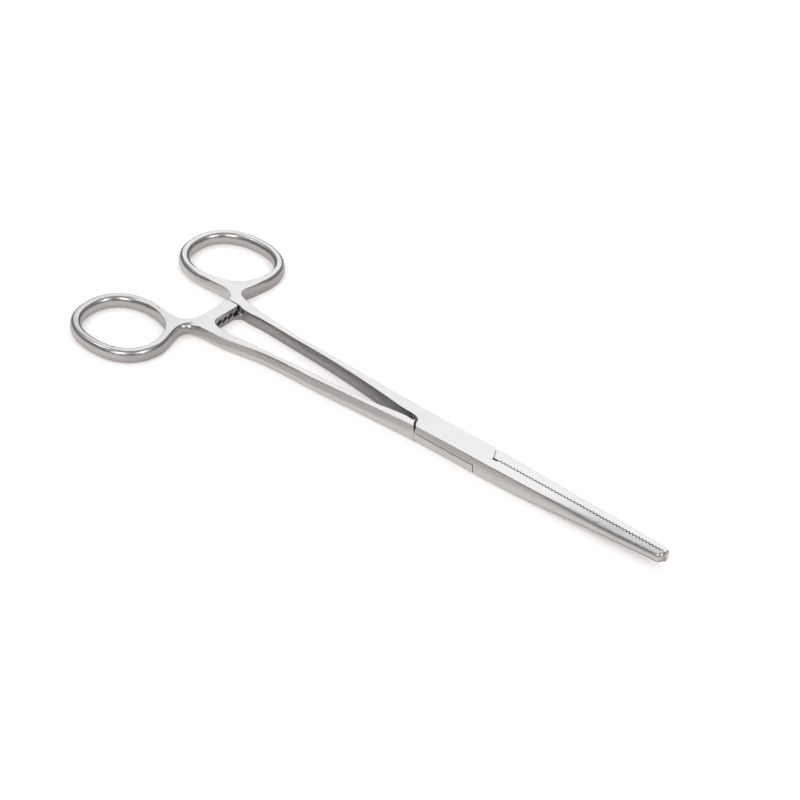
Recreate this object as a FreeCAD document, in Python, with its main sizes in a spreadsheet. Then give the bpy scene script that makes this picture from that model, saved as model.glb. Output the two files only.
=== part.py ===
import FreeCAD, Part
import Sketcher
import os

# Straight box-lock artery forceps in millimetres. They lie flat on z = 0 with
# the jaws towards +X. Every outline is drawn about the pivot, and the pieces
# are then moved so that the middle of the whole instrument is at x = 0. Side
# +1 is the half at +Y, and -1 the half at -Y. An arm starts on one side at
# its ring, crosses in the box, and ends on the other side with its jaw.
doc = FreeCAD.newDocument("forceps")
sheet = doc.addObject("Spreadsheet::Sheet", "Size")

SIZES = [
    # Finger rings: ovals of forged wire, one on each arm
    ("grip_distance", 110.8, "pivot to the middle of a finger ring"),
    ("ring_offset", 22.7, "centre line to the middle of a finger ring"),
    ("ring_reach", 15.4, "half length of the ring along its rim's middle"),
    ("ring_spread", 12.2, "half width of the ring along its rim's middle"),
    ("rim_width", 2.7, "rim at the parting line"),
    ("rim_land", 1.5, "flat top of the rim"),
    ("ring_thickness", 4.3, "height of the rings"),
    # Neck: the ring's rim runs into the shank
    ("neck_radius", 6.6, "hollow between the ring and the ratchet arm"),
    ("neck_hollow", 4.5, "centre line to the middle of that hollow"),
    ("notch_back", 14.9, "ring's middle to the notch beside the shank"),
    ("notch_offset", 12.05, "centre line to that notch"),
    ("notch_lean", 0.4, "how far the notch's wall leans forward"),
    ("notch_rise", 3.0, "notch to the end of its wall inside the rim"),
    # Ratchet: two toothed arms, one above the other
    ("ratchet_width", 4.75, "arm measured along the instrument"),
    ("ratchet_setback", 15.1, "ring's middle to the arm's rear edge"),
    ("ratchet_end", 6.1, "centre line to the end of each arm"),
    ("ratchet_pitch", 2.65, "one ratchet tooth to the next"),
    ("ratchet_depth", 0.65, "height of a ratchet tooth"),
    ("ratchet_lead", 0.75, "upright side of a tooth, measured across"),
    ("ratchet_clearance", 0.05, "parting plane to the tips of the teeth"),
    ("ratchet_teeth", 4, "teeth on each arm"),
    ("ratchet_fillet", 2.4, "inner corner between the ratchet arm and the shank"),
    # Box: two cheeks with a slot between them for the other arm's tongue
    ("box_width", 7.7, "across the closed box"),
    ("box_thickness", 5.7, "height of the box"),
    ("end_reach", 13.2, "pivot to the box end on the centre line"),
    ("side_reach", 11.0, "pivot to the box end at its side"),
    ("shoulder_gap", 0.3, "box end to the other arm's shoulder"),
    ("top_cheek", 2.6, "cheek above the slot"),
    ("tongue_thickness", 2.2, "plate that turns in the slot"),
    ("slot_clearance", 0.06, "above and below the tongue"),
    ("tongue_radius", 9.8, "round part of the tongue"),
    ("wall_clearance", 0.12, "tongue to the walls at the slot's ends"),
    ("neck_edge", 0.3, "centre line to the edge of the tongue's necks"),
    ("joining_length", 1.0, "how far shank and jaw run on inside the box"),
    # Lock pin: riveted in the cheeks, free in the tongue
    ("pin_diameter", 3.2, "pin through the box"),
    ("pin_clearance", 0.04, "pin to the tongue's bore, on the radius"),
    # Jaws: half-round outside, toothed where they meet
    ("jaw_length", 72.5, "pivot to the tip"),
    ("tip_rounding", 1.95, "plan radius of each jaw's end"),
    ("tooth_pitch", 1.1, "one serration to the next"),
    ("tooth_depth", 0.45, "height of a serration"),
    ("tooth_land", 0.12, "flat on top of a serration"),
    ("jaw_gap", 0.1, "between the closed jaws"),
    ("relief", 0.2, "hollow beside each jaw before its first tooth"),
    ("relief_length", 1.6, "box end to the first tooth"),
    # Cutting outlines
    ("beyond", 2.0, "how far a cutting outline runs past the piece"),
]

# Sections of the shank: share of the way from the box to the neck, distance
# of its middle from the centre line, flat land, overhang of the crest along
# the parting line, and height. Next to the box the shank has the box's side
# and height.
SHANK = {
    "box": (0.0, "=half_box - shank_box_land / 2", 3.10, 0.0, "=box_thickness"),
    "lower": (0.21, 3.30, 2.75, 0.25, 5.15),
    "middle": (0.46, 4.78, 2.10, 0.40, 4.70),
    "waist": (0.71, 5.80, 1.75, 0.45, 4.35),
    "neck": (1.0, 8.25, 2.90, 0.30, "=ring_thickness"),
}

# Sections of the jaw: share of the way from the box end to the tip, half
# width, flat land, height of its top and of its underside, and how far down
# the rounded shoulder reaches. Next to the box the jaw has the box's side,
# top and underside.
JAW = {
    "root": (0.0, "=half_box", 3.55, "=box_thickness", 0.0, 0.25),
    "quarter": (0.2, 3.45, 2.80, "=box_thickness", 0.40, 0.90),
    "half": (0.45, 3.00, 1.90, "=box_thickness", 1.05, 1.30),
    "late": (0.70, 2.60, 1.30, "=box_thickness", 1.65, 1.45),
    "tip": (1.0, 1.90, 0.75, "=box_thickness", 2.35, 1.30),
}
SHANK_KEYS = ("along", "offset", "land", "overhang", "height")
JAW_KEYS = ("along", "half_width", "land", "top", "under", "shoulder")

# A rounded shoulder is drawn with one corner between its ends, this share of
# the way out and down.
SHOULDER_OUT = 0.7
SHOULDER_DOWN = 0.3

# Turns round the ring, in degrees from its front, where the neck's web
# follows the rim's middle line
NECK_TURNS = (57, 49, 40, 31)

# Sizes that follow from the others
DERIVED = [
    ("half_box", "=box_width / 2"),
    ("parting_height", "=ring_thickness / 2"),
    ("slot_top", "=box_thickness - top_cheek"),
    ("slot_height", "=tongue_thickness + 2 * slot_clearance"),
    ("slot_radius", "=tongue_radius + wall_clearance"),
    ("slot_edge", "=neck_edge - wall_clearance"),
    ("tongue_top", "=slot_top - slot_clearance"),
    ("tongue_bottom", "=tongue_top - tongue_thickness"),
    ("shoulder", "=end_reach + shoulder_gap"),
    ("end_slope", "=(end_reach - side_reach) / half_box"),
    ("joining_start", "=side_reach - joining_length"),
    ("above_box", "=box_thickness + beyond"),
    ("through_box", "=box_thickness + 2 * beyond"),
    ("tooth_start", "=end_reach + relief_length"),
    ("tooth_count", "=ceil((jaw_length - tooth_start) / tooth_pitch) + 1"),
    ("tooth_face", "=(jaw_gap - tooth_depth) / 2"),
    ("ratchet_rear", "=grip_distance - ratchet_setback"),
    ("ratchet_front", "=ratchet_rear - ratchet_width"),
    ("ratchet_thickness", "=parting_height - ratchet_clearance"),
    ("ratchet_span", "=(ratchet_teeth - 1) * ratchet_pitch"),
    ("neck_distance", "=ratchet_rear - ratchet_width * 0.4"),
    ("neck_inner", "=shank_neck_offset - shank_neck_land / 2 - shank_neck_overhang"),
    ("pivot_x", "=(grip_distance + ring_reach + rim_width / 2 - jaw_length) / 2"),
]

rows = list(SIZES)
for place, numbers in SHANK.items():
    for key, number in zip(SHANK_KEYS, numbers):
        rows.append((f"shank_{place}_{key}", number, f"shank section at the {place}"))
for place, numbers in JAW.items():
    for key, number in zip(JAW_KEYS, numbers):
        rows.append((f"jaw_{place}_{key}", number, f"jaw section at the {place}"))
rows += [(alias, formula, "follows from the others") for alias, formula in DERIVED]
for row, (alias, number, note) in enumerate(rows, start=1):
    sheet.set(f"A{row}", alias)
    sheet.setAlias(f"B{row}", alias)
    sheet.set(f"C{row}", note)
for row, (alias, number, note) in enumerate(rows, start=1):
    sheet.set(f"B{row}", str(number))
doc.recompute()


def new_body(name):
    body = doc.addObject("PartDesign::Body", name)
    body.Label = name
    body.setExpression(".Placement.Base.x", "Size.pivot_x")
    return body


def new_sketch(body, name, role, offset="0"):
    """Empty sketch on one of the body's origin planes, moved along its normal."""
    plane = next(item for item in body.Origin.OriginFeatures if item.Role == role)
    sketch = body.newObject("Sketcher::SketchObject", name)
    sketch.AttachmentSupport = [(plane, "")]
    sketch.MapMode = "FlatFace"
    sketch.setExpression(".AttachmentOffset.Base.z", offset)
    return sketch


def value(formula):
    """What a formula on the sheet's sizes comes to, as a plain number."""
    return float(sheet.evalExpression(formula.replace("Size.", "")))


def pin_point(sketch, index, end, x, y):
    """Ties one point of a line or arc to a place given by two formulas."""
    for kind, formula in (("DistanceX", x), ("DistanceY", y)):
        number = sketch.addConstraint(Sketcher.Constraint(kind, -1, 1, index, end, value(formula)))
        sketch.setExpression(f"Constraints[{number}]", formula)


def bulge_point(start, end, radius, turn):
    """Middle of the short arc between two points; turn is 1 to the left, -1 to the right."""
    along = end - start
    outward = FreeCAD.Vector(along.y, -along.x, 0).normalize() * turn
    rise = radius - (radius ** 2 - (along.Length / 2) ** 2) ** 0.5
    return (start + end) / 2 + outward * rise


def close_outline(sketch, corners):
    """Closed outline through its corners, each a pair of formulas.

    A corner with two more entries starts a round stretch: the arc's radius,
    and 1 where it turns left or -1 where it turns right.
    """
    spots = [FreeCAD.Vector(value(corner[0]), value(corner[1]), 0) for corner in corners]
    count = len(spots)
    ends = []
    for index, corner in enumerate(corners):
        here = spots[index]
        there = spots[(index + 1) % count]
        if len(corner) == 2:
            sketch.addGeometry(Part.LineSegment(here, there))
            ends.append((1, 2))
            continue
        radius, turn = corner[2:]
        sketch.addGeometry(Part.Arc(here, bulge_point(here, there, value(radius), turn), there))
        number = sketch.addConstraint(Sketcher.Constraint("Radius", index, value(radius)))
        sketch.setExpression(f"Constraints[{number}]", radius)
        ends.append((1, 2) if turn > 0 else (2, 1))
    for index, corner in enumerate(corners):
        after = (index + 1) % count
        sketch.addConstraint(Sketcher.Constraint("Coincident", index, ends[index][1], after, ends[after][0]))
        pin_point(sketch, index, ends[index][0], corner[0], corner[1])
    return sketch


def on_side(side, corners):
    """The same outline on the arm's own side of the centre line."""
    mirrored = []
    for x, y, *arc in corners:
        turn = [arc[0], side * arc[1]] if arc else []
        mirrored.append((x, f"{side} * ({y})", *turn))
    return mirrored


def pad(body, name, sketch, length):
    feature = body.newObject("PartDesign::Pad", name)
    feature.Profile = sketch
    feature.setExpression("Length", length)
    return feature


def pocket(body, name, sketch, depth):
    feature = body.newObject("PartDesign::Pocket", name)
    feature.Profile = sketch
    feature.setExpression("Length", depth)
    return feature


def cut_down(body, name, height, depth, corners):
    """Straight-sided cut, downwards from a height."""
    sketch = close_outline(new_sketch(body, f"{name}_outline", "XY_Plane", height), corners)
    return pocket(body, name, sketch, depth)


def loft(body, name, sections):
    feature = body.newObject("PartDesign::AdditiveLoft", name)
    feature.Profile = sections[0]
    feature.Sections = sections[1:]
    return feature


def pivot_circle(body, name, height, radius):
    """Circle about the pivot, at a height."""
    sketch = new_sketch(body, name, "XY_Plane", height)
    sketch.addGeometry(Part.Circle(FreeCAD.Vector(0, 0, 0), FreeCAD.Vector(0, 0, 1), value(radius)))
    sketch.addConstraint(Sketcher.Constraint("Coincident", 0, 3, -1, 1))
    number = sketch.addConstraint(Sketcher.Constraint("Radius", 0, value(radius)))
    sketch.setExpression(f"Constraints[{number}]", radius)
    return sketch


def repeat(body, name, feature, axis, span, count, backwards=False):
    """Copies a cut along one of the body's own axes."""
    line = next(item for item in body.Origin.OriginFeatures if item.Role == axis)
    pattern = body.newObject("PartDesign::LinearPattern", name)
    pattern.Originals = [feature]
    pattern.Direction = (line, [""])
    pattern.Reversed = backwards
    pattern.setExpression("Length", span)
    pattern.setExpression("Occurrences", count)
    body.Tip = pattern
    return pattern


def finger_ring(body, side):
    """Oval ring: the rim's six-sided section swept round its middle line."""
    path = new_sketch(body, body.Name + "_ring_path", "XY_Plane", "Size.parting_height")
    centre = FreeCAD.Vector(-value("Size.grip_distance"), side * value("Size.ring_offset"), 0)
    front = centre + FreeCAD.Vector(value("Size.ring_reach"), 0, 0)
    flank = centre + FreeCAD.Vector(0, value("Size.ring_spread"), 0)
    path.addGeometry(Part.Ellipse(front, flank, centre))
    path.exposeInternalGeometry(0)
    pin_point(path, 0, 3, "-Size.grip_distance", f"{side} * Size.ring_offset")
    path.addConstraint(Sketcher.Constraint("Horizontal", 1))
    for axis, formula in ((1, "2 * Size.ring_reach"), (2, "2 * Size.ring_spread")):
        number = path.addConstraint(Sketcher.Constraint("Distance", axis, value(formula)))
        path.setExpression(f"Constraints[{number}]", formula)
    rim = new_sketch(body, body.Name + "_rim", "XZ_Plane", f"{-side} * Size.ring_offset")
    corners = []
    for across, height in (
        ("-Size.rim_land / 2", "0"),
        ("Size.rim_land / 2", "0"),
        ("Size.rim_width / 2", "Size.parting_height"),
        ("Size.rim_land / 2", "Size.ring_thickness"),
        ("-Size.rim_land / 2", "Size.ring_thickness"),
        ("-Size.rim_width / 2", "Size.parting_height"),
    ):
        corners.append((f"-Size.grip_distance + Size.ring_reach + ({across})", height))
    close_outline(rim, corners)
    ring = body.newObject("PartDesign::AdditivePipe", body.Name + "_ring")
    ring.Profile = rim
    ring.Spine = (path, ["Edge1"])


def neck(body, side):
    """Full-height web where the rim runs into the shank."""
    rim_x = "-Size.grip_distance + Size.ring_reach * cos({0})"
    rim_y = "Size.ring_offset - Size.ring_spread * sin({0})"
    corners = [(rim_x.format(turn), rim_y.format(turn)) for turn in NECK_TURNS]
    corners += [
        ("-Size.grip_distance + Size.notch_back + Size.notch_lean", "Size.notch_offset + Size.notch_rise"),
        ("-Size.grip_distance + Size.notch_back", "Size.notch_offset"),
        ("-Size.neck_distance", "Size.shank_neck_offset + Size.shank_neck_land / 2"),
        ("-Size.neck_distance", "Size.shank_neck_offset - Size.shank_neck_land / 2"),
    ]
    hollow_start = "(Size.neck_inner - Size.neck_hollow)"
    hollow_x = f"-Size.ratchet_rear - Size.neck_radius + sqrt(Size.neck_radius^2 - {hollow_start}^2)"
    corners += [
        (hollow_x, "Size.neck_inner", "Size.neck_radius", 1),
        (
            "-Size.ratchet_rear - Size.neck_radius * (1 - cos(75))",
            "Size.neck_hollow + Size.neck_radius * sin(75)",
        ),
    ]
    sketch = new_sketch(body, body.Name + "_neck_outline", "XY_Plane")
    close_outline(sketch, on_side(side, corners))
    pad(body, body.Name + "_neck", sketch, "Size.ring_thickness")


def shank(body, side):
    """Tapering bar with a crest along the parting line, from the neck to the box."""
    sections = []
    for place in reversed(list(SHANK)):
        key = f"Size.shank_{place}_"
        length = "(Size.neck_distance - Size.joining_start)"
        distance = f"-(Size.joining_start + {length} * {key}along)"
        half = f"{key}land / 2"
        crest = f"({key}land / 2 + {key}overhang)"
        corners = [
            (f"{key}offset - {half}", "0"),
            (f"{key}offset + {half}", "0"),
            (f"{key}offset + {crest}", f"{key}height / 2"),
            (f"{key}offset + {half}", f"{key}height"),
            (f"{key}offset - {half}", f"{key}height"),
            (f"{key}offset - {crest}", f"{key}height / 2"),
        ]
        sketch = new_sketch(body, f"{body.Name}_shank_{place}", "YZ_Plane", distance)
        sections.append(close_outline(sketch, [(f"{side} * ({y})", z) for y, z in corners]))
    loft(body, body.Name + "_shank", sections)


def ratchet_arm(body, side, floor, tip_height, rise):
    """Toothed arm that reaches across to the other shank.

    floor is the height of the arm's underside, tip_height is where the tips
    of its teeth lie, and rise is a tooth's height, negative where they point
    down.
    """
    flank = "(Size.shank_neck_offset - Size.shank_neck_land / 2)"
    corners = [
        ("-Size.ratchet_rear", "Size.shank_neck_offset"),
        ("-Size.ratchet_rear", "-Size.ratchet_end"),
        ("-Size.ratchet_front", "-Size.ratchet_end"),
        ("-Size.ratchet_front", f"{flank} - Size.ratchet_fillet", "Size.ratchet_fillet", -1),
        ("-Size.ratchet_front + Size.ratchet_fillet", flank),
        ("-Size.ratchet_front + Size.ratchet_fillet", "Size.shank_neck_offset"),
    ]
    sketch = new_sketch(body, body.Name + "_ratchet_outline", "XY_Plane", floor)
    close_outline(sketch, on_side(side, corners))
    pad(body, body.Name + "_ratchet", sketch, "Size.ratchet_thickness")
    start = "-Size.ratchet_pitch * Size.ratchet_teeth / 2"
    root_height = f"{tip_height} - ({rise})"
    outside_height = f"{tip_height} + ({rise})"
    corners = [
        (start, tip_height),
        (f"{start} + Size.ratchet_lead", root_height),
        (f"{start} + Size.ratchet_pitch", tip_height),
        (f"{start} + Size.ratchet_pitch / 2", outside_height),
    ]
    notch = new_sketch(body, body.Name + "_notch_outline", "YZ_Plane", "-Size.ratchet_front + Size.beyond")
    close_outline(notch, [(f"{side} * ({y})", z) for y, z in corners])
    cut = pocket(body, body.Name + "_notch", notch, "Size.ratchet_width + 2 * Size.beyond")
    name = body.Name + "_ratchet_teeth"
    repeat(body, name, cut, "Y_Axis", "Size.ratchet_span", "Size.ratchet_teeth", backwards=side < 0)


def jaw(body, side):
    """Half-round jaw, from inside the box to the tip."""
    sections = []
    for place in JAW:
        key = f"Size.jaw_{place}_"
        distance = f"Size.end_reach + (Size.jaw_length - Size.end_reach) * {key}along"
        if place == "root":
            distance = "Size.joining_start"
        middle = f"({key}land + {SHOULDER_OUT} * ({key}half_width - {key}land))"
        drop = f"{SHOULDER_DOWN} * {key}shoulder"
        corners = [
            ("Size.tooth_face", f"{key}top"),
            (f"{key}land", f"{key}top"),
            (middle, f"{key}top - {drop}"),
            (f"{key}half_width", f"{key}top - {key}shoulder"),
            (f"{key}half_width", f"{key}under + {key}shoulder"),
            (middle, f"{key}under + {drop}"),
            (f"{key}land", f"{key}under"),
            ("Size.tooth_face", f"{key}under"),
        ]
        sketch = new_sketch(body, f"{body.Name}_jaw_{place}", "YZ_Plane", distance)
        sections.append(close_outline(sketch, [(f"{side} * ({y})", z) for y, z in corners]))
    loft(body, body.Name + "_jaw", sections)


def round_tip(body, side):
    """Rounds the jaw's end in plan."""
    start = "Size.jaw_length - Size.tip_rounding"
    corners = [
        ("Size.jaw_length", "0"),
        ("Size.jaw_length + Size.beyond", "0"),
        ("Size.jaw_length + Size.beyond", "Size.tip_rounding + Size.beyond"),
        (start, "Size.tip_rounding + Size.beyond"),
        (start, "Size.tip_rounding", "Size.tip_rounding", -1),
    ]
    outline = on_side(side, corners)
    cut_down(body, body.Name + "_tip", "Size.above_box", "Size.through_box", outline)


def serrations(body, side):
    """Relief beside the box, then a row of V grooves across the jaw's face.

    The two rows are half a pitch apart, so that the jaws mesh.
    """
    past = "-(Size.tooth_depth + Size.jaw_gap)"
    corners = [
        ("Size.end_reach", "Size.relief"),
        ("Size.end_reach", "0"),
        (f"Size.end_reach + Size.end_slope * ({past})", past),
        ("Size.tooth_start", past),
        ("Size.tooth_start", "Size.relief"),
    ]
    outline = on_side(side, corners)
    cut_down(body, body.Name + "_relief", "Size.above_box", "Size.through_box", outline)
    shift = 0 if side < 0 else 0.5
    middle = f"Size.tooth_start + Size.tooth_pitch * {shift}"
    half = "(Size.tooth_pitch - Size.tooth_land) / 2"
    corners = [
        (f"{middle} - {half}", "Size.tooth_face"),
        (middle, "Size.tooth_face + Size.tooth_depth"),
        (f"{middle} + {half}", "Size.tooth_face"),
        (middle, past),
    ]
    outline = on_side(side, corners)
    groove = cut_down(body, body.Name + "_groove", "Size.above_box", "Size.through_box", outline)
    span = "(Size.tooth_count - 1) * Size.tooth_pitch"
    repeat(body, body.Name + "_serrations", groove, "X_Axis", span, "Size.tooth_count")


def crossing_outline(sketch, radius, edge, half_width, reach):
    """Round middle about the pivot, with a bar towards the shank on the near
    side and one towards the jaw on the far side."""
    corners = []
    for way in (1, -1):
        corners += [
            (f"{way} * sqrt({radius}^2 - {edge}^2)", f"{way} * {edge}"),
            (f"{way} * ({reach})", f"{way} * {edge}"),
            (f"{way} * ({reach})", f"{way} * ({half_width})"),
            (f"{-way} * sqrt({radius}^2 - ({half_width})^2)", f"{way} * ({half_width})", radius, 1),
        ]
    return close_outline(sketch, corners)


# Box-side arm, one forging. The box with its slot lies between its ring and
# shank on the far side and its jaw on the near side.
box_arm = new_body("box_arm")
box_outline = close_outline(new_sketch(box_arm, "box_outline", "XY_Plane"), [
    ("-Size.side_reach", "-Size.half_box"),
    ("Size.end_reach", "-Size.half_box"),
    ("Size.end_reach", "0"),
    ("Size.side_reach", "Size.half_box"),
    ("-Size.side_reach", "Size.half_box"),
    ("-Size.end_reach", "Size.shank_box_offset"),
    ("-Size.end_reach", "0"),
])
pad(box_arm, "box", box_outline, "Size.box_thickness")
finger_ring(box_arm, 1)
neck(box_arm, 1)
shank(box_arm, 1)
jaw(box_arm, -1)
round_tip(box_arm, -1)
slot = new_sketch(box_arm, "slot_outline", "XY_Plane", "Size.slot_top")
crossing_outline(
    slot, "Size.slot_radius", "Size.slot_edge", "Size.half_box + Size.beyond", "Size.shoulder + Size.beyond"
)
pocket(box_arm, "slot", slot, "Size.slot_height")
hole = pivot_circle(box_arm, "pin_hole_outline", "Size.above_box", "Size.pin_diameter / 2")
pocket(box_arm, "pin_hole", hole, "Size.through_box")
lower_tips = "Size.parting_height - Size.ratchet_clearance"
ratchet_arm(box_arm, 1, "0", lower_tips, "Size.ratchet_depth")
serrations(box_arm, -1)

# Tongue-side arm, the other forging. Between its shoulders only a thin tongue
# is left, which turns in the slot and has a bore for the pin.
tongue_arm = new_body("tongue_arm")
finger_ring(tongue_arm, -1)
neck(tongue_arm, -1)
shank(tongue_arm, -1)
jaw(tongue_arm, 1)
round_tip(tongue_arm, 1)
shoulders = []
for way in (1, -1):
    shoulders += [
        (f"{way} * Size.shoulder", f"{way} * -Size.box_width"),
        (f"{way} * Size.shoulder", "0"),
        (f"{way} * (Size.shoulder - Size.end_slope * Size.box_width)", f"{way} * Size.box_width"),
    ]
cut_down(tongue_arm, "between_shoulders", "Size.above_box", "Size.through_box", shoulders)
tongue = new_sketch(tongue_arm, "tongue_outline", "XY_Plane", "Size.tongue_bottom")
crossing_outline(tongue, "Size.tongue_radius", "Size.neck_edge", "Size.half_box", "Size.shoulder")
pad(tongue_arm, "tongue", tongue, "Size.tongue_thickness")
bore_radius = "Size.pin_diameter / 2 + Size.pin_clearance"
bore = pivot_circle(tongue_arm, "bore_outline", "Size.above_box", bore_radius)
pocket(tongue_arm, "bore", bore, "Size.through_box")
upper_tips = "Size.parting_height + Size.ratchet_clearance"
ratchet_arm(tongue_arm, -1, upper_tips, upper_tips, "-Size.ratchet_depth")
serrations(tongue_arm, 1)

# Lock pin: riveted in both cheeks and ground flush with them.
lock_pin = new_body("lock_pin")
pin = pivot_circle(lock_pin, "pin_outline", "0", "Size.pin_diameter / 2")
pad(lock_pin, "pin", pin, "Size.box_thickness")

doc.recompute()
for item in doc.Objects:
    if "Invalid" in item.State or "Error" in item.State:
        raise RuntimeError(f"{item.Label} did not rebuild: {item.getStatusString()}")
pieces = (box_arm, tongue_arm, lock_pin)
for piece in pieces:
    if piece.Shape.isNull() or not piece.Shape.isValid():
        raise RuntimeError(f"{piece.Label} has no valid shape")
    if len(piece.Shape.Solids) != 1:
        raise RuntimeError(f"{piece.Label} is not one solid")
os.makedirs("parts", exist_ok=True)
for piece in pieces:
    piece.Shape.exportStep(f"parts/{piece.Label}.step")
    box = piece.Shape.BoundBox
    print(piece.Label, round(piece.Shape.Volume, 1), "mm3", box)
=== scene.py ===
import math

import bpy
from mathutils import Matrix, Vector
from mathutils.geometry import delaunay_2d_cdt


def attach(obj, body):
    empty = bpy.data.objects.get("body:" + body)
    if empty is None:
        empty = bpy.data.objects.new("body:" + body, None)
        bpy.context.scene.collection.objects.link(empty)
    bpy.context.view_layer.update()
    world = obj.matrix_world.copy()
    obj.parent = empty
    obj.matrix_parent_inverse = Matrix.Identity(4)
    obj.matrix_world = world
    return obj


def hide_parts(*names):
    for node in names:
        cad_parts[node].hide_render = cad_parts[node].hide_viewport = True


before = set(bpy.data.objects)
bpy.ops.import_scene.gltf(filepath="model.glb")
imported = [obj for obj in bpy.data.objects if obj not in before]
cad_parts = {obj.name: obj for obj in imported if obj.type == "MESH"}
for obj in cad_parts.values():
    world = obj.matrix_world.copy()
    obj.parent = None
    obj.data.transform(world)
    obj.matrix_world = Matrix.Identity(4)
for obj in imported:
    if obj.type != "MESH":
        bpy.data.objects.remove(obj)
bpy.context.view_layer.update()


# ---- Studio --------------------------------------------------------------------
# A white table under soft lamps, with the camera where the photographer stood: on
# the near side of the jaws, a little over 37 degrees up, with a long lens.
MM = 0.001
CAMERA_TURN, CAMERA_RISE = math.radians(42.18), math.radians(37.14)
CAMERA_TARGET = Vector((1.29, 5.69, 2.15)) * MM
CAMERA_AWAY = 739 * MM

camera_data = bpy.data.cameras.new("camera")
camera_data.lens = 117.8
camera_data.sensor_width = 36
camera = bpy.data.objects.new("camera", camera_data)
bpy.context.scene.collection.objects.link(camera)
camera_back = Vector((
    math.sin(CAMERA_TURN) * math.cos(CAMERA_RISE),
    -math.cos(CAMERA_TURN) * math.cos(CAMERA_RISE),
    math.sin(CAMERA_RISE),
))
camera.location = CAMERA_TARGET + camera_back * CAMERA_AWAY
camera.rotation_euler = (-camera_back).to_track_quat("-Z", "Y").to_euler()
bpy.context.scene.camera = camera
bpy.context.scene.view_settings.view_transform = "Standard"


LAMP_AWAY = 1.2


def lamp(name, turn, rise, wide, high, radiance):
    """Softbox that faces the middle of the instrument; degrees and metres."""
    data = bpy.data.lights.new(name, "AREA")
    data.shape = "RECTANGLE"
    data.size, data.size_y = wide, high
    data.energy = radiance * math.pi * wide * high
    out = Vector((
        math.sin(math.radians(turn)) * math.cos(math.radians(rise)),
        -math.cos(math.radians(turn)) * math.cos(math.radians(rise)),
        math.sin(math.radians(rise)),
    ))
    item = bpy.data.objects.new(name, data)
    item.location = out * LAMP_AWAY
    item.rotation_euler = (-out).to_track_quat("-Z", "Y").to_euler()
    bpy.context.scene.collection.objects.link(item)


lamp("back_softbox", 214, 48, wide=0.84, high=1.15, radiance=1.14)
lamp("left_softbox", 297, 52, wide=0.30, high=0.30, radiance=3.4)
lamp("front_softbox", 8, 33, wide=0.45, high=0.70, radiance=2.8)
lamp("right_softbox", 76, 33, wide=0.45, high=0.70, radiance=2.8)


def ramp(nodes, stops):
    """Colour ramp through (position, colour) stops."""
    node = nodes.new("ShaderNodeValToRGB")
    for element, (position, colour) in zip(node.color_ramp.elements, stops):
        element.position, element.color = position, colour
    for position, colour in stops[2:]:
        node.color_ramp.elements.new(position).color = colour
    return node


def map_range(nodes, low, high, start, stop):
    """Map Range node from low..high to start..stop."""
    node = nodes.new("ShaderNodeMapRange")
    node.inputs["From Min"].default_value = low
    node.inputs["From Max"].default_value = high
    node.inputs["To Min"].default_value = start
    node.inputs["To Max"].default_value = stop
    return node


def arithmetic(nodes, operation, second=None):
    """Math node, with its second number where that is fixed."""
    node = nodes.new("ShaderNodeMath")
    node.operation = operation
    if second is not None:
        node.inputs[1].default_value = second
    return node


# The room is dim at the level of the table and brighter overhead. The camera sees
# it white, and the table is lit by an even white one.
DIM_WALL, CEILING = (0.10, 0.095, 0.09, 1), (0.36, 0.36, 0.37, 1)
TABLE_LIGHT = (0.88, 0.88, 0.90, 1)
WHITE, BLACK = (1, 1, 1, 1), (0, 0, 0, 1)
world = bpy.data.worlds.new("studio")
bpy.context.scene.world = world
world.use_nodes = True
nodes, links = world.node_tree.nodes, world.node_tree.links
nodes.clear()
heading = nodes.new("ShaderNodeTexCoord")
split = nodes.new("ShaderNodeSeparateXYZ")
levels = ramp(nodes, ((0.12, DIM_WALL), (0.60, CEILING)))
room = nodes.new("ShaderNodeBackground")
backdrop = nodes.new("ShaderNodeBackground")
backdrop.inputs["Color"].default_value = WHITE
bounce = nodes.new("ShaderNodeBackground")
bounce.inputs["Color"].default_value = TABLE_LIGHT
path = nodes.new("ShaderNodeLightPath")
lit = nodes.new("ShaderNodeMixShader")
mix = nodes.new("ShaderNodeMixShader")
out = nodes.new("ShaderNodeOutputWorld")
links.new(heading.outputs["Generated"], split.inputs[0])
links.new(split.outputs["Z"], levels.inputs["Fac"])
links.new(levels.outputs["Color"], room.inputs["Color"])
links.new(path.outputs["Is Diffuse Ray"], lit.inputs["Fac"])
links.new(room.outputs[0], lit.inputs[1])
links.new(bounce.outputs[0], lit.inputs[2])
links.new(path.outputs["Is Camera Ray"], mix.inputs["Fac"])
links.new(lit.outputs[0], mix.inputs[1])
links.new(backdrop.outputs[0], mix.inputs[2])
links.new(mix.outputs[0], out.inputs[0])

# The table is plain white paint. What the camera sees of it is also lifted
# towards white and keeps part of the instrument's shadow. In the metal's
# reflections the table is painted greyer, a painted shade, and carries a painted
# glow in a strip on each side of the instrument: a painted reflection.
TABLE_HALF = 3
# The table's paint, and the darker copy of it that glossy rays see: painted shade in the metal's
# reflections
TABLE_PAINT, TABLE_PAINTED_GREY_IN_METAL = (0.83, 0.80, 0.785, 1), (0.53, 0.505, 0.49, 1)
# The camera's lift towards white, then the level and colour of the painted glow: a painted reflection
# that only glossy rays see
TABLE_LIFT, PAINTED_STRIP_GLOW, PAINTED_STRIP_COLOUR = 0.22, 0.42, (1, 0.96, 0.93, 1)

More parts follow.
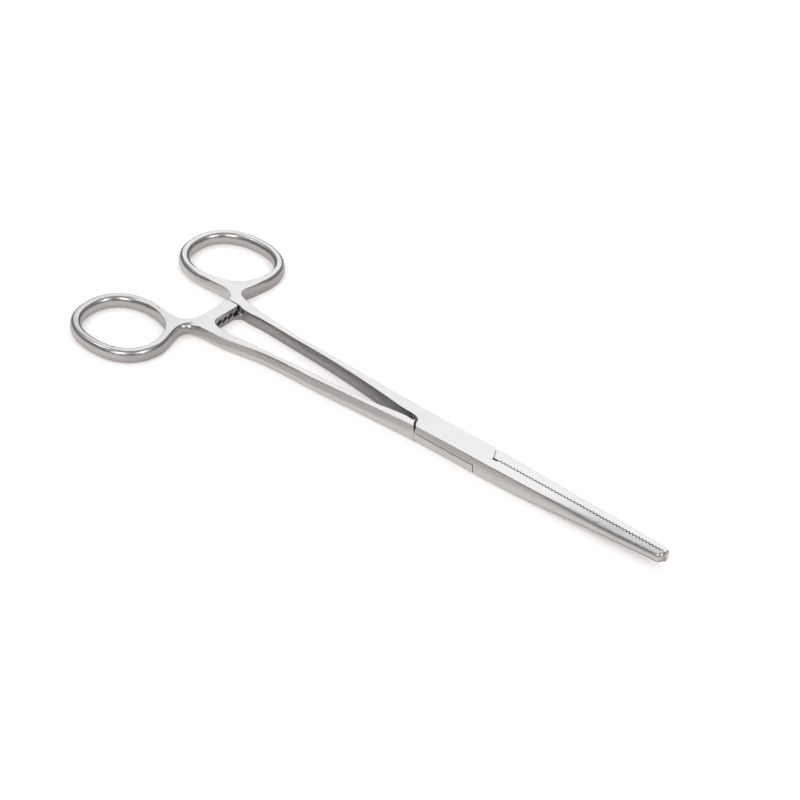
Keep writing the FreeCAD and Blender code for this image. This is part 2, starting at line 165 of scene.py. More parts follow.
floor_mesh = bpy.data.meshes.new("floor")
floor_mesh.from_pydata(
    [(x * TABLE_HALF, y * TABLE_HALF, 0) for x, y in ((-1, -1), (1, -1), (1, 1), (-1, 1))],
    [], [(0, 1, 2, 3)],
)
floor = bpy.data.objects.new("floor", floor_mesh)
bpy.context.scene.collection.objects.link(floor)
floor_paint = bpy.data.materials.new("white_table")
floor_paint.use_nodes = True
nodes, links = floor_paint.node_tree.nodes, floor_paint.node_tree.links
nodes.clear()
path = nodes.new("ShaderNodeLightPath")
# Glossy rays get the darker copy of the paint: painted shade in the metal's reflections
shade_of = nodes.new("ShaderNodeMix")
shade_of.data_type = "RGBA"
shade_of.inputs["A"].default_value = TABLE_PAINT
shade_of.inputs["B"].default_value = TABLE_PAINTED_GREY_IN_METAL
paper = nodes.new("ShaderNodeBsdfDiffuse")
links.new(path.outputs["Is Glossy Ray"], shade_of.inputs["Factor"])
links.new(shade_of.outputs["Result"], paper.inputs["Color"])

# In metres: the instrument's half width along X, the strip of painted glow from
# there outwards, and the open table behind the rings, which the painted glow also
# brightens
place = nodes.new("ShaderNodeTexCoord")
split = nodes.new("ShaderNodeSeparateXYZ")
beside = arithmetic(nodes, "ABSOLUTE")
half_width = map_range(nodes, -0.042, 0.0175, 0.0071, 0.00385)
beyond = arithmetic(nodes, "SUBTRACT")
reach = map_range(nodes, -0.002, 0.008, 0, 1)
strip = ramp(nodes, ((0.10, BLACK), (0.18, WHITE), (0.48, WHITE), (0.66, BLACK)))
behind_rings = map_range(nodes, -0.062, -0.072, 0, 0.45)
painted_glow_mask = arithmetic(nodes, "MAXIMUM")
links.new(place.outputs["Object"], split.inputs[0])
links.new(split.outputs["Y"], beside.inputs[0])
links.new(split.outputs["X"], half_width.inputs["Value"])
links.new(split.outputs["X"], behind_rings.inputs["Value"])
links.new(beside.outputs[0], beyond.inputs[0])
links.new(half_width.outputs["Result"], beyond.inputs[1])
links.new(beyond.outputs[0], reach.inputs["Value"])
links.new(reach.outputs["Result"], strip.inputs["Fac"])
links.new(strip.outputs["Color"], painted_glow_mask.inputs[0])
links.new(behind_rings.outputs["Result"], painted_glow_mask.inputs[1])

lift = nodes.new("ShaderNodeEmission")
lift.inputs["Color"].default_value = WHITE
lift_level = arithmetic(nodes, "MULTIPLY", TABLE_LIFT)
links.new(path.outputs["Is Camera Ray"], lift_level.inputs[0])
links.new(lift_level.outputs[0], lift.inputs["Strength"])
# Painted reflection: a glow that only glossy rays see, in the strip beside the instrument and behind the
# rings
painted_glow = nodes.new("ShaderNodeEmission")
painted_glow.inputs["Color"].default_value = PAINTED_STRIP_COLOUR
painted_glow_level = arithmetic(nodes, "MULTIPLY", PAINTED_STRIP_GLOW)
painted_glow_strength = arithmetic(nodes, "MULTIPLY")
links.new(path.outputs["Is Glossy Ray"], painted_glow_level.inputs[0])
links.new(painted_glow_level.outputs[0], painted_glow_strength.inputs[0])
links.new(painted_glow_mask.outputs[0], painted_glow_strength.inputs[1])
links.new(painted_glow_strength.outputs[0], painted_glow.inputs["Strength"])
both = nodes.new("ShaderNodeAddShader")
whole = nodes.new("ShaderNodeAddShader")
out = nodes.new("ShaderNodeOutputMaterial")
links.new(lift.outputs[0], both.inputs[0])
links.new(painted_glow.outputs[0], both.inputs[1])
links.new(paper.outputs[0], whole.inputs[0])
links.new(both.outputs[0], whole.inputs[1])
links.new(whole.outputs[0], out.inputs[0])
floor_mesh.materials.append(floor_paint)


# ---- Box-side arm --------------------------------------------------------------
# One steel forging: finger ring on the far side, shank, box with the slot for the
# other arm's tongue, and jaw on the near side. Milled, ground and satin polished.
# Lengths are in millimetres, and X starts at the pin.
PIVOT_X = 27.525
HALF_BOX = 3.85
BOX_HEIGHT = 5.7
BOX_END, BOX_SIDE_END = 13.2, 11.0
RIM_OUTWARD, RIM_INWARD = 1.48, 1.78
TIP_X = 72.4
SLOT_LOW, SLOT_HIGH = 0.76, 3.27
PIN_HOLE_RADIUS = 1.6
THROUGH = (-2, 8)
# Height of the top along the instrument: rings and ratchet, waist, box, jaws
TOP_HEIGHTS = ((-130, 4.3), (-90, 4.3), (-69.5, 4.35), (-48.5, 4.7), (-27.6, 5.15),
               (-10, 5.7), (80, 5.7))
# Height of the underside: flat on the table up to the box, then rising to the tip
UNDER_HEIGHTS = ((-130, 0), (10, 0), (25.06, 0.40), (39.9, 1.05), (54.7, 1.65),
                 (72.5, 2.35), (80, 2.6))


def along(table, x):
    """Value at x of a table of (x, value) rows."""
    for (x0, v0), (x1, v1) in zip(table, table[1:]):
        if x <= x1:
            return v0 + (v1 - v0) * max(0, (x - x0) / (x1 - x0))
    return table[-1][1]


def smooth_line(stations, spacing):
    """Smooth line through stations; every number of a station is carried along."""
    gaps = [math.dist(a[:2], b[:2]) for a, b in zip(stations, stations[1:])]
    slopes = [
        [(q - p) / gap for p, q in zip(a, b)]
        for a, b, gap in zip(stations, stations[1:], gaps)
    ]
    bends = [slopes[0]]
    for before, after, g0, g1 in zip(slopes, slopes[1:], gaps, gaps[1:]):
        bends.append([(u * g1 + v * g0) / (g0 + g1) for u, v in zip(before, after)])
    bends.append(slopes[-1])
    line = []
    for a, b, m, n, gap in zip(stations, stations[1:], bends, bends[1:], gaps):
        steps = max(1, round(gap / spacing))
        for step in range(steps):
            t = step / steps
            line.append([
                (2 * t**3 - 3 * t**2 + 1) * p + (t**3 - 2 * t**2 + t) * gap * u
                + (3 * t**2 - 2 * t**3) * q + (t**3 - t**2) * gap * v
                for p, q, u, v in zip(a, b, m, n)
            ])
    return line


def section_edge(width, drop, rounding, edge, support):
    """Half of the side of a plate, from its flat to the crest, as (inset, depth).

    edge is how wide the flat rounds over into the shoulder, and support where the
    loop lies that keeps the flat level.
    """
    def shoulder(t):
        out = (1 - rounding) * t + rounding * math.sin(math.pi * t / 2)
        down = (1 - rounding) * t + rounding * (1 - math.cos(math.pi * t / 2))
        return width * (1 - out), drop * down

    first = min(0.3, edge / math.hypot(width, drop))
    a, b, c = (width + edge, 0), (width, 0), shoulder(first)
    points = [(width + support, 0), a]
    for t in (0.35, 0.7):
        points.append(tuple(
            (1 - t) ** 2 * p + 2 * t * (1 - t) * q + t * t * r for p, q, r in zip(a, b, c)
        ))
    points += [shoulder(first + (1 - first) * t) for t in (0, 0.3, 0.55, 0.75, 0.9, 1)]
    return points


def insets(loop):
    """Direction into the metal at each point of a loop, lengthened at corners."""
    count = len(loop)
    result = []
    for index in range(count):
        here = Vector(loop[index][:2])
        before = (here - Vector(loop[index - 1][:2])).normalized()
        after = (Vector(loop[(index + 1) % count][:2]) - here).normalized()
        middle = Vector((-(before.y + after.y), before.x + after.x)).normalized()
        result.append(middle / max(0.5, middle.dot(Vector((-before.y, before.x)))))
    return result


def inside(spot, outline):
    """Whether a point of the plan lies inside an outline."""
    crossings = 0
    for a, b in zip(outline, outline[1:] + outline[:1]):
        if (a[1] > spot.y) != (b[1] > spot.y):
            crossings += spot.x < a[0] + (b[0] - a[0]) * (spot.y - a[1]) / (b[1] - a[1])
    return crossings % 2 == 1


def plate(name, loops, top, under, edges=(0.12, 0.3), extra=()):
    """Closed plate between two heights, given as tables.

    A loop is a list of (x, y, width, drop, rounding): the plan of its crest, with
    the metal on the left, and how wide, deep and round its shoulder is there.
    edges are the roundings at the top and the underside, which shrink beside a
    wide shoulder, so that those of a rim's two sides don't meet. extra is a list
    of further points on both flats.
    """
    vertices, faces = [], []
    rings = []
    for loop in loops:
        inward = insets(loop)
        ring = []
        for (x, y, width, drop, rounding), step in zip(loop, inward):
            high, low = along(top, x), along(under, x)
            drop = min(drop, (high - low) / 2 - 0.04)
            share = min(1, max(0.25, 1.45 - width))
            over, below = edges
            upper = section_edge(width, drop, rounding, over * share, (over + 0.08) * share)
            lower = section_edge(width, drop, rounding, below * share, (below + 0.05) * share)
            column = []
            for inset, depth in upper:
                px, py = x + step.x * inset, y + step.y * inset
                column.append((px, py, along(top, px) - depth))
            for inset, depth in reversed(lower):
                px, py = x + step.x * inset, y + step.y * inset
                column.append((px, py, along(under, px) + depth))
            ring.append(range(len(vertices), len(vertices) + len(column)))
            vertices += column
        rings.append(ring)
        for a, b in zip(ring, ring[1:] + ring[:1]):
            for k in range(len(a) - 1):
                faces.append((a[k], a[k + 1], b[k + 1], b[k]))
    for end, height in ((0, top), (-1, under)):
        flat_points, corners, bounds = [], [], []
        for ring in rings:
            start = len(flat_points)
            count = len(ring)
            flat_points += [Vector(vertices[column[end]][:2]) for column in ring]
            corners += [column[end] for column in ring]
            bounds += [(start + i, start + (i + 1) % count) for i in range(count)]
        for x, y in extra:
            flat_points.append(Vector((x, y)))
            corners.append(len(vertices))
            vertices.append((x, y, along(height, x)))
        holes = [[vertices[column[end]] for column in ring] for ring in rings[1:]]
        spots, _, triangles, origins, _, _ = delaunay_2d_cdt(flat_points, bounds, [], 1, 1e-6)
        for triangle in triangles:
            middle = sum((spots[i] for i in triangle), Vector((0, 0))) / 3
            if not any(inside(middle, hole) for hole in holes):
                face = [corners[origins[i][0]] for i in triangle]
                faces.append(face if end == 0 else face[::-1])
    return solid(name, vertices, faces)


def solid(name, vertices, faces):
    """Mesh object at its place in the frame, from millimetres about the pivot."""
    mesh = bpy.data.meshes.new(name)
    mesh.from_pydata([((x + PIVOT_X) * MM, y * MM, z * MM) for x, y, z in vertices], [], faces)
    mesh.validate()
    item = bpy.data.objects.new(name, mesh)
    bpy.context.scene.collection.objects.link(item)
    return item


def prism(name, corners, low, high, axis="Z"):
    """Straight bar over an outline, along Z, or along X where corners are (y, z)."""
    count = len(corners)
    if axis == "Z":
        vertices = [(x, y, z) for z in (low, high) for x, y in corners]
    else:
        vertices = [(x, y, z) for x in (low, high) for y, z in corners]
    faces = [tuple(reversed(range(count))), tuple(range(count, 2 * count))]
    faces += [(i, (i + 1) % count, count + (i + 1) % count, count + i) for i in range(count)]
    area = sum(a[0] * b[1] - b[0] * a[1] for a, b in zip(corners, corners[1:] + corners[:1]))
    if area < 0:
        faces = [face[::-1] for face in faces]
    return solid(name, vertices, faces)


def settle(item):
    """Turns the object with its modifiers into a plain mesh."""
    bpy.context.view_layer.update()
    graph = bpy.context.evaluated_depsgraph_get()
    mesh = bpy.data.meshes.new_from_object(item.evaluated_get(graph))
    item.modifiers.clear()
    item.data = mesh
    return item


def combine(item, tool, operation):
    """Adds a tool to the object or cuts it away, and removes the tool."""
    change = item.modifiers.new("combine", "BOOLEAN")
    change.object, change.operation, change.solver = tool, operation, "MANIFOLD"
    settle(item)
    bpy.data.objects.remove(tool)


# Repeats one cutter along a line, for the jaw's serrations and the ratchet's
# notches
row_tree = bpy.data.node_groups.new("tooth_row", "GeometryNodeTree")
sockets = {}
for label, kind, way in (
    ("Cutter", "NodeSocketGeometry", "INPUT"),
    ("Teeth", "NodeSocketInt", "INPUT"),
    ("Pitch", "NodeSocketVector", "INPUT"),
    ("Finish", "NodeSocketMaterial", "INPUT"),
    ("Row", "NodeSocketGeometry", "OUTPUT"),
):
    sockets[label] = row_tree.interface.new_socket(label, in_out=way, socket_type=kind).identifier
nodes, links = row_tree.nodes, row_tree.links
entry = nodes.new("NodeGroupInput")
line = nodes.new("GeometryNodeMeshLine")
copies = nodes.new("GeometryNodeInstanceOnPoints")
real = nodes.new("GeometryNodeRealizeInstances")
finish = nodes.new("GeometryNodeSetMaterial")
leave = nodes.new("NodeGroupOutput")
links.new(entry.outputs["Teeth"], line.inputs["Count"])
links.new(entry.outputs["Pitch"], line.inputs["Offset"])
links.new(line.outputs["Mesh"], copies.inputs["Points"])
links.new(entry.outputs["Cutter"], copies.inputs["Instance"])
links.new(copies.outputs["Instances"], real.inputs["Geometry"])
links.new(real.outputs["Geometry"], finish.inputs["Geometry"])
links.new(entry.outputs["Finish"], finish.inputs["Material"])
links.new(finish.outputs["Geometry"], leave.inputs["Row"])


def repeat(cutter, count, step, finish):
    """Row of count cutters, step apart."""
    row = cutter.modifiers.new("row", "NODES")
    row.node_group = row_tree
    row[sockets["Teeth"]] = count
    row[sockets["Pitch"]] = Vector(step) * MM
    row[sockets["Finish"]] = finish
    return settle(cutter)


def satin_steel(name, colour, roughness):
    """Ground and satin-polished stainless steel: fine grain, faint cloudiness."""
    material = bpy.data.materials.new(name)
    material.use_nodes = True
    nodes, links = material.node_tree.nodes, material.node_tree.links
    metal = nodes["Principled BSDF"]
    metal.inputs["Base Color"].default_value = (*colour, 1)
    metal.inputs["Metallic"].default_value = 1
    place = nodes.new("ShaderNodeTexCoord")
    cloud = nodes.new("ShaderNodeTexNoise")
    cloud.inputs["Scale"].default_value = 120
    cloud.inputs["Detail"].default_value = 4
    levels = map_range(nodes, 0, 1, roughness - 0.05, roughness + 0.05)
    grain = nodes.new("ShaderNodeTexNoise")
    grain.inputs["Scale"].default_value = 700
    grain.inputs["Detail"].default_value = 6
    grain.inputs["Roughness"].default_value = 0.65
    # The grain runs along the instrument
    stretch = nodes.new("ShaderNodeMapping")
    stretch.inputs["Scale"].default_value = (0.35, 1, 1)
    bump = nodes.new("ShaderNodeBump")
    bump.inputs["Distance"].default_value = 0.00018
    # The ground flats are smoother than the forged and polished sides
    split = nodes.new("ShaderNodeSeparateXYZ")
    slope = arithmetic(nodes, "ABSOLUTE")
    depth = map_range(nodes, 0.55, 0.95, 0.50, 0.06)
    links.new(place.outputs["Normal"], split.inputs[0])
    links.new(split.outputs["Z"], slope.inputs[0])
    links.new(slope.outputs[0], depth.inputs["Value"])
    links.new(depth.outputs["Result"], bump.inputs["Strength"])
    links.new(place.outputs["Object"], cloud.inputs["Vector"])
    links.new(place.outputs["Object"], stretch.inputs["Vector"])
    links.new(stretch.outputs["Vector"], grain.inputs["Vector"])
    links.new(cloud.outputs["Fac"], levels.inputs["Value"])
    links.new(levels.outputs["Result"], metal.inputs["Roughness"])
    links.new(grain.outputs["Fac"], bump.inputs["Height"])
    links.new(bump.outputs["Normal"], metal.inputs["Normal"])
    return material


STEEL_COLOUR, STEEL_ROUGHNESS = (0.62, 0.615, 0.61), 0.27
arm_steel = satin_steel("arm_steel", STEEL_COLOUR, STEEL_ROUGHNESS)


OVAL_POWER = 0.88


def oval(ring, turn, rim):
    """Point of a finger ring's oval; turn 0 faces the jaws, 90 the other ring."""
    x, y, reach, spread = ring
    across, over = math.cos(math.radians(turn)), math.sin(math.radians(turn))
    across, over = (math.copysign(abs(v) ** OVAL_POWER, v) for v in (across, over))
    return x + (reach + rim) * across, y - (spread + rim) * over


def rim_shoulder(turn, near):
    """Shoulder of the rim: near wide where it meets the neck, and round away from it."""
    away = min(1, max(0, (abs((turn - 42 + 180) % 360 - 180) - 25) / 45))
    return near + (1.20 - near) * away, 2.05, 0.5 + 0.5 * away


def mirrored(loop, side):
    """The loop on the arm's own side, still with the metal on its left."""
    return loop if side > 0 else [[x, -y, *rest] for x, y, *rest in reversed(loop)]


def blank(name, side, ring, hollow, inner, crotch, neck, edge, tip_round):
    """Arm before its box end, slot and teeth are cut: ring, shank, box and jaw.

    All is drawn for an arm whose ring is on the +Y side, so that its jaw is at
    -Y. hollow, inner and neck are the arm's own stations beside its ring, crotch
    those beside the box, and edge is how far its jaw is rounded over, from 0 to 1.
    """
    tip_x = TIP_X - 0.3 * edge
    hollow = [(*oval(ring, turn, RIM_OUTWARD), *rim_shoulder(turn, 0.55)) for turn in (100, 90)] + hollow
    inner = [hollow[-1]] + inner + [
        (-69.5, 4.475, 0.55, 2.1, 0.25),
        (-48.5, 3.33, 0.55, 2.3, 0.25),
    ] + crotch + [(-13.45, -1.1, 0.02, 2.7, 0.3)]
    box_end = [
        (-13.45, -1.1, 0.02, 2.7, 0.3), (-12.95, -2.3, 0.02, 2.7, 0.3),
        (-12.2, -3.4, 0.02, 2.7, 0.3), (-11.85, -3.85, 0.02, 2.7, 0.3),
    ]
    side_wall = [
        (-11.85, -3.85, 0.10, 2.7, 0.3),
        (-4.0, -3.85, 0.22, 2.5, 0.4),
        (6.0, -3.85, 0.32, 2.0, 0.5),
        (13.2, -3.85, 0.30, 1.2, 0.7),
        (25.06, -3.45, 0.20 + 0.05 * edge, 1.2, 0.8),
        (39.9, -3.00, 0.25 + 0.15 * edge, 1.5, 0.7),
        (54.7, -2.60, 0.30 + 0.20 * edge, 1.6, 0.7),
        (tip_x - tip_round, -1.95, 0.35 + 0.10 * edge, 1.45, 0.8),
    ]
    tip = [
        (tip_x - tip_round + tip_round * math.sin(math.radians(turn)),
         -1.95 + tip_round * (1 - math.cos(math.radians(turn))),
         0.35 + (0.10 + 0.3 * turn / 90) * edge, 1.45, 0.8 + 0.2 * turn / 90)
        for turn in range(0, 91, 10)
    ]
    tip += [[x, -y, *rest] for x, y, *rest in reversed(tip)]
    spare = [
        (tip_x - tip_round, 1.95, 0.35 + 0.10 * edge, 1.45, 0.8),
        (60.0, 2.4, 0.3, 1.3, 0.9),
        (13.2, 3.85, 0.02, 2.0, 0.3),
    ]
    outer = [
        (13.2, 3.85, 0.02, 2.0, 0.3),
        (-10.0, 3.85, 0.02, 2.7, 0.3),
        (-27.6, 4.925, 0.35, 2.5, 0.25),
        (-48.5, 6.23, 0.55, 2.3, 0.25),
        (-69.5, 7.125, 0.55, 2.1, 0.25),
    ]
    rim = [(*oval(ring, turn, RIM_OUTWARD), *rim_shoulder(turn, 0.55))
           for turn in range(0, -261, -10)]
    loop = []
    for run, spacing in (
        (inner, 0.9), (box_end, 0.8), (side_wall, 0.9), (tip, 0.3),
        (spare, 1.5), (outer + neck + rim + hollow[1:], 0.7),
    ):
        loop += smooth_line(run, spacing)
    opening = [(*oval(ring, turn, -RIM_INWARD), *rim_shoulder(turn, 0.2))
               for turn in range(0, 360, 3)]
    # Rows of points on the jaw's flats, for its crown to bend
    jaw_rows = [
        (x, -along(JAW_HALF_WIDTHS, x) * share)
        for share in (0.15, 0.3, 0.45, 0.58, 0.68, JAW_CREASE)
        for x in [14 + 1.3 * step for step in range(42)]
    ]
    return plate(
        name, [mirrored(loop, side), mirrored(opening, side)], TOP_HEIGHTS, UNDER_HEIGHTS,
        extra=[(x, side * y) for x, y in jaw_rows],
    )


# Half width of the jaw, how much of its bend its top and underside have, and the
# share of the width at which the bend steepens
JAW_HALF_WIDTHS = ((13.2, 3.85), (25.06, 3.45), (39.9, 3.0), (54.7, 2.6), (72.5, 1.95))
JAW_CROWNS = ((18, 0), (34, 0.5), (52, 1), (72.5, 1))
JAW_CREASE = 0.76


def crown(item):
    """Bows the jaw's top and underside down and up towards its outer side."""
    for vertex in item.data.vertices:
        x, y, z = vertex.co.x / MM - PIVOT_X, vertex.co.y / MM, vertex.co.z / MM
        if x > 20:
            out = min(1, abs(y) / along(JAW_HALF_WIDTHS, x))
            low = along(UNDER_HEIGHTS, x)
            level = 2 * (z - low) / (BOX_HEIGHT - low) - 1
            bend = 0.32 * out + 0.24 * max(0, out - JAW_CREASE)
            fall = along(JAW_CROWNS, x) * along(JAW_HALF_WIDTHS, x) * bend
            fall *= level * abs(level) ** 0.5 if level > 0 else 0.4 * level
            vertex.co.z -= fall * MM


RATCHET_REAR, RATCHET_FRONT, RATCHET_END = -95.2, -90.75, -5.85
NOTCH_START, NOTCH_PITCH, NOTCH_LEAD, NOTCH_COUNT = -5.45, 2.2, 0.35, 5


def ratchet_arm(name, side, low, high, tip_height, rise):
    """Half-height arm that reaches across to the other shank, notched into teeth.

    tip_height is where the teeth's tips lie, and rise how far each notch goes on
    past them; below the tips it is as deep.
    """
    fillet = smooth_line([
        (-90.75, 2.4, 0, 0.8, 0), (-90.70, 3.4, 0, 0.8, 0), (-90.2, 4.4, 0, 0.8, 0),
        (-88.5, 5.5, 0, 0.8, 0), (-86.4, 5.98, 0, 0.8, 0), (-84.4, 6.6, 0, 0.8, 0),
    ], 0.35)
    corner = 0.6
    rear_end = [
        (RATCHET_REAR + corner * (1 - math.cos(math.radians(turn))),
         RATCHET_END + corner * (1 - math.sin(math.radians(turn))), 0, 0.8, 0)
        for turn in range(0, 91, 15)
    ]
    front_end = [
        (RATCHET_FRONT - corner * (1 - math.sin(math.radians(turn))),
         RATCHET_END + corner * (1 - math.cos(math.radians(turn))), 0, 0.8, 0)
        for turn in range(0, 91, 15)
    ]
    loop = [(-94.2, 7.6, 0, 0.8, 0), (-95.3, 6.2, 0, 0.8, 0), (-95.22, 5.0, 0, 0.8, 0)]
    loop += rear_end + front_end + fillet + [(-84.4, 7.4, 0, 0.8, 0)]
    arm = plate(
        name, [mirrored(loop, side)], ((-130, high), (130, high)), ((-130, low), (130, low)),
        edges=(0.08, 0.08),
    )
    notch = prism("notch", [
        (side * NOTCH_START, tip_height),
        (side * (NOTCH_START + NOTCH_LEAD), tip_height - rise),
        (side * (NOTCH_START + NOTCH_PITCH), tip_height),
        (side * (NOTCH_START + NOTCH_PITCH / 2), tip_height + rise),
    ], RATCHET_REAR - 3, RATCHET_FRONT + 3, axis="X")
    notches = repeat(notch, NOTCH_COUNT, (0, side * NOTCH_PITCH, 0), arm_steel)
    combine(arm, notches, "DIFFERENCE")
    return arm


JAW_FACE = -0.02
GROOVE_START, GROOVE_PITCH, GROOVE_COUNT = 2.2, 1.1, 51
GROOVE_HALF, GROOVE_DEPTH = 0.49, 0.45


def serrate(arm, side, shift):
    """Grooves across the jaw's face; side is the jaw's own, shift in pitches."""
    first = BOX_END + GROOVE_START + GROOVE_PITCH * shift
    groove = prism("groove", [
        (first - GROOVE_HALF, side * JAW_FACE), (first, side * (JAW_FACE + GROOVE_DEPTH)),
        (first + GROOVE_HALF, side * JAW_FACE), (first, side * (JAW_FACE - GROOVE_DEPTH)),
    ], -2, BOX_HEIGHT + 2)
    combine(arm, repeat(groove, GROOVE_COUNT, (GROOVE_PITCH, 0, 0), arm_steel), "DIFFERENCE")


def crossing(radius, edge, half_width, reach):
    """Outline of the tongue or its slot: round middle, a bar to each end."""
    corners = []
    for way in (1, -1):
        corners += [(way * reach, way * edge), (way * reach, way * half_width)]
        start = math.atan2(way * half_width, -way * math.sqrt(radius**2 - half_width**2))
        stop = math.atan2(-way * edge, -way * math.sqrt(radius**2 - edge**2))
        if stop < start:
            stop += 2 * math.pi
        corners += [
            (radius * math.cos(start + (stop - start) * i / 12),
             radius * math.sin(start + (stop - start) * i / 12)) for i in range(13)
        ]
    return corners


def shade(item, finish, body, node):
    """Smooth faces with crisp edges, the finish, and the node that it stands for."""
    mesh = item.data
    mesh.materials.clear()
    mesh.materials.append(finish)
    for polygon in mesh.polygons:
        polygon.use_smooth = True
    mesh.set_sharp_from_angle(angle=math.radians(32))
    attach(item, body)
    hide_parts(node)


def drill(item, radius):
    """Round hole for the pin."""
    turns = [math.radians(turn) for turn in range(0, 360, 5)]
    corners = [(radius * math.cos(turn), radius * math.sin(turn)) for turn in turns]
    combine(item, prism("pin_hole", corners, *THROUGH), "DIFFERENCE")


def nick(item, x, y, turn, length, width, low, high):
    """Small dent of wear, cut with a pointed bar that lies at turn in the plan."""
    along_x, along_y = math.cos(math.radians(turn)), math.sin(math.radians(turn))
    corners = [
        (x + u * along_x - v * along_y, y + u * along_y + v * along_x)
        for u, v in ((-length / 2, 0), (0, -width / 2), (length / 2, 0), (0, width / 2))
    ]
    combine(item, prism("nick", corners, low, high), "DIFFERENCE")


box_side = blank(
    "box_side_arm", 1, ring=(-110.3, 22.5, 15.5, 12.25),
    hollow=[
        (-106.2, 9.15, 0.45, 2.05, 0.5), (-102.2, 9.40, 0.35, 2.05, 0.4), (-100.2, 9.35, 0.30, 2.05, 0.4),
        (-98.1, 8.85, 0.28, 2.05, 0.4), (-96.4, 7.8, 0.25, 2.05, 0.4), (-95.3, 6.2, 0.15, 2.05, 0.4),
    ],
    inner=[
        (-92.9, 6.1, 0.05, 2.05, 0.3), (-90.7, 6.0, 0.08, 2.05, 0.3), (-88.4, 5.35, 0.15, 2.05, 0.3),
        (-86.0, 5.05, 0.25, 2.05, 0.3), (-81.5, 5.1, 0.38, 2.05, 0.3), (-77.2, 4.95, 0.42, 2.05, 0.3),
    ],
    crotch=[
        (-27.6, 1.20, 0.35, 2.5, 0.25), (-20.5, 0.35, 0.15, 2.7, 0.3), (-16.6, 0.22, 0.04, 2.7, 0.3),
        (-15.1, -0.05, 0.02, 2.7, 0.3), (-14.05, -0.55, 0.02, 2.7, 0.3),
    ],
    neck=[
        (-74.5, 7.5, 0.40, 2.05, 0.3), (-83.6, 8.3, 0.35, 2.05, 0.3), (-88.7, 9.1, 0.30, 2.05, 0.4),
        (-91.6, 9.75, 0.25, 2.05, 0.4), (-93.9, 10.6, 0.15, 2.05, 0.4), (-95.05, 11.8, 0.12, 2.05, 0.4),
        (-95.05, 13.4, 0.25, 2.05, 0.5), (-94.55, 15.0, 0.35, 2.05, 0.6), (-94.2, 16.8, 0.40, 2.05, 0.6),
        (-93.9, 19.0, 0.50, 2.0, 0.7),
    ],
    edge=1, tip_round=1.75,
)
combine(box_side, prism("jaw_face", [
    (BOX_END, -0.65), (BOX_END + 1.5, -0.65), (BOX_END + 2.3, -JAW_FACE), (76, -JAW_FACE),
    (76, 7), (BOX_SIDE_END - 1.8, 7), (BOX_SIDE_END, HALF_BOX), (BOX_END, 0),
], *THROUGH), "DIFFERENCE")
serrate(box_side, -1, 0)
crown(box_side)
combine(box_side, prism("slot", crossing(10.05, 0.18, 6, 16), SLOT_LOW, SLOT_HIGH), "DIFFERENCE")
drill(box_side, PIN_HOLE_RADIUS)
combine(box_side, ratchet_arm("lower_ratchet", 1, 0, 2.1, 2.1, 1.0), "UNION")
nick(box_side, -108.2, 9.75, 30, 0.9, 0.5, 2.0, 2.7)
shade(box_side, arm_steel, "box_side", "box_arm")


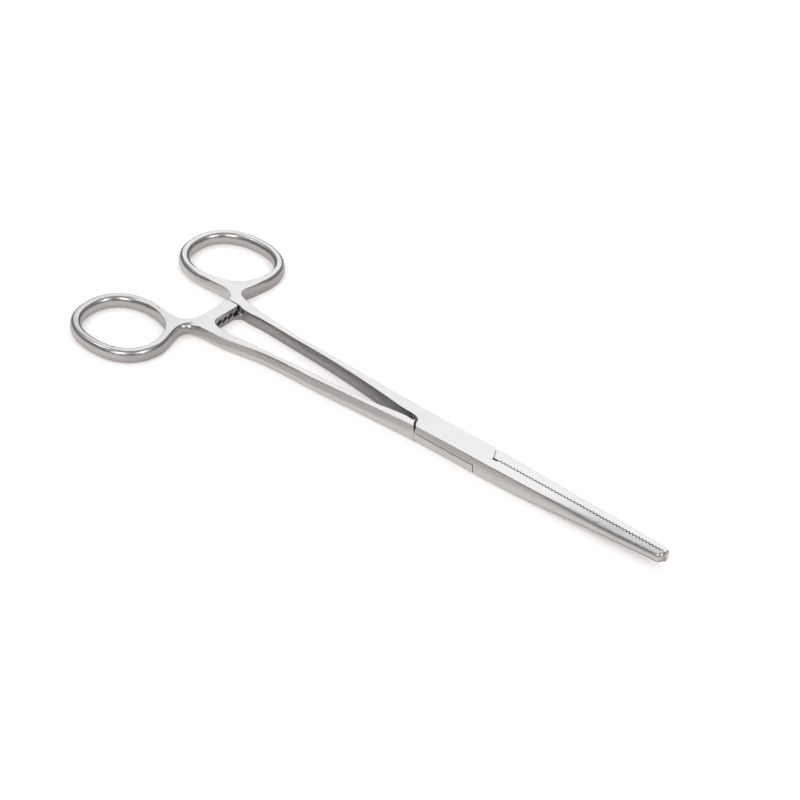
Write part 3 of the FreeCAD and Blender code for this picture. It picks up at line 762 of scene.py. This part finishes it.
# ---- Tongue-side arm -----------------------------------------------------------
# The other steel forging. Between its shoulders only a thin tongue is left, which
# turns in the box's slot on the pin. Its ring is on the near side.
SHOULDER, SHOULDER_LEAN = 13.5, 2.2 / 3.85
TONGUE_LOW, TONGUE_HIGH = 0.84, 3.04
BORE_RADIUS = 1.64
tongue_side = blank(
    "tongue_side_arm", -1, ring=(-109.95, 22.6, 15.0, 12.15),
    hollow=[
        (-106.9, 9.65, 0.50, 2.05, 0.5), (-102.7, 10.2, 0.38, 2.05, 0.4), (-98.9, 9.85, 0.30, 2.05, 0.4),
        (-96.6, 8.3, 0.15, 2.05, 0.4), (-95.6, 6.9, 0.10, 2.05, 0.4), (-95.3, 6.2, 0.10, 2.05, 0.4),
    ],
    inner=[
        (-92.9, 6.2, 0.05, 2.05, 0.3), (-90.2, 6.0, 0.08, 2.05, 0.3), (-86.4, 5.65, 0.28, 2.05, 0.3),
        (-84.3, 5.7, 0.30, 2.05, 0.3), (-80.0, 5.45, 0.35, 2.05, 0.3), (-77.3, 5.2, 0.38, 2.05, 0.3),
    ],
    crotch=[
        (-27.6, 2.45, 0.35, 2.5, 0.25), (-20.5, 1.75, 0.15, 2.7, 0.3), (-16.6, 1.60, 0.04, 2.7, 0.3),
        (-14.5, 1.80, 0.02, 2.7, 0.3), (-13.6, 1.0, 0.02, 2.7, 0.3),
    ],
    neck=[
        (-76.3, 8.05, 0.20, 2.05, 0.3), (-83.4, 9.1, 0.15, 2.05, 0.4), (-88.5, 9.45, 0.25, 2.05, 0.6),
        (-91.4, 9.85, 0.55, 2.05, 0.9), (-93.3, 10.4, 1.15, 2.05, 1.0), (-94.6, 11.0, 1.85, 2.05, 1.0),
        (-95.5, 11.9, 1.65, 2.05, 1.0), (-95.9, 13.2, 1.05, 2.05, 1.0), (-95.5, 15.4, 0.80, 2.0, 1.0),
        (-94.8, 17.6, 0.75, 1.9, 1.0), (-94.1, 19.8, 0.75, 1.8, 1.0),
    ],
    edge=0.1, tip_round=1.0,
)
combine(tongue_side, prism("shoulders", [
    (SHOULDER, -8), (SHOULDER, 0), (SHOULDER - 8 * SHOULDER_LEAN, 8),
    (-14.2, 8), (-14.2, -0.9), (-13.7, -2.3), (-12.95, -3.4), (-12.55, -3.85), (-10.6, -8),
], *THROUGH), "DIFFERENCE")
combine(tongue_side, prism("jaw_face", [
    (BOX_END, -7), (76, -7), (76, JAW_FACE), (BOX_END + 1.8, JAW_FACE),
    (BOX_END + 1.6, 0.05), (BOX_END, 0.05),
], *THROUGH), "DIFFERENCE")
serrate(tongue_side, 1, 0.5)
tongue = plate(
    "tongue", [[(x, y, 0, 0.5, 0) for x, y in crossing(9.8, 0.3, HALF_BOX, SHOULDER)]],
    ((-20, TONGUE_HIGH), (20, TONGUE_HIGH)), ((-20, TONGUE_LOW), (20, TONGUE_LOW)),
    edges=(0.05, 0.05),
)
combine(tongue_side, tongue, "UNION")
drill(tongue_side, BORE_RADIUS)
combine(tongue_side, ratchet_arm("upper_ratchet", -1, 2.2, 4.3, 2.2, -1.0), "UNION")
nick(tongue_side, -107.6, -10.6, -20, 2.4, 0.25, 4.1, 4.5)
nick(tongue_side, -103.0, -33.4, 40, 0.8, 0.4, 4.0, 4.5)
shade(tongue_side, arm_steel, "tongue_side", "tongue_arm")


# ---- Lock pin ------------------------------------------------------------------
# Steel rivet through the box, ground flush with both cheeks. The CAD's own piece
# stays; only its finish is new.
pin_steel = satin_steel("pin_steel", STEEL_COLOUR, STEEL_ROUGHNESS)
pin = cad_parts["lock_pin"]
pin.data.materials.clear()
pin.data.materials.append(pin_steel)
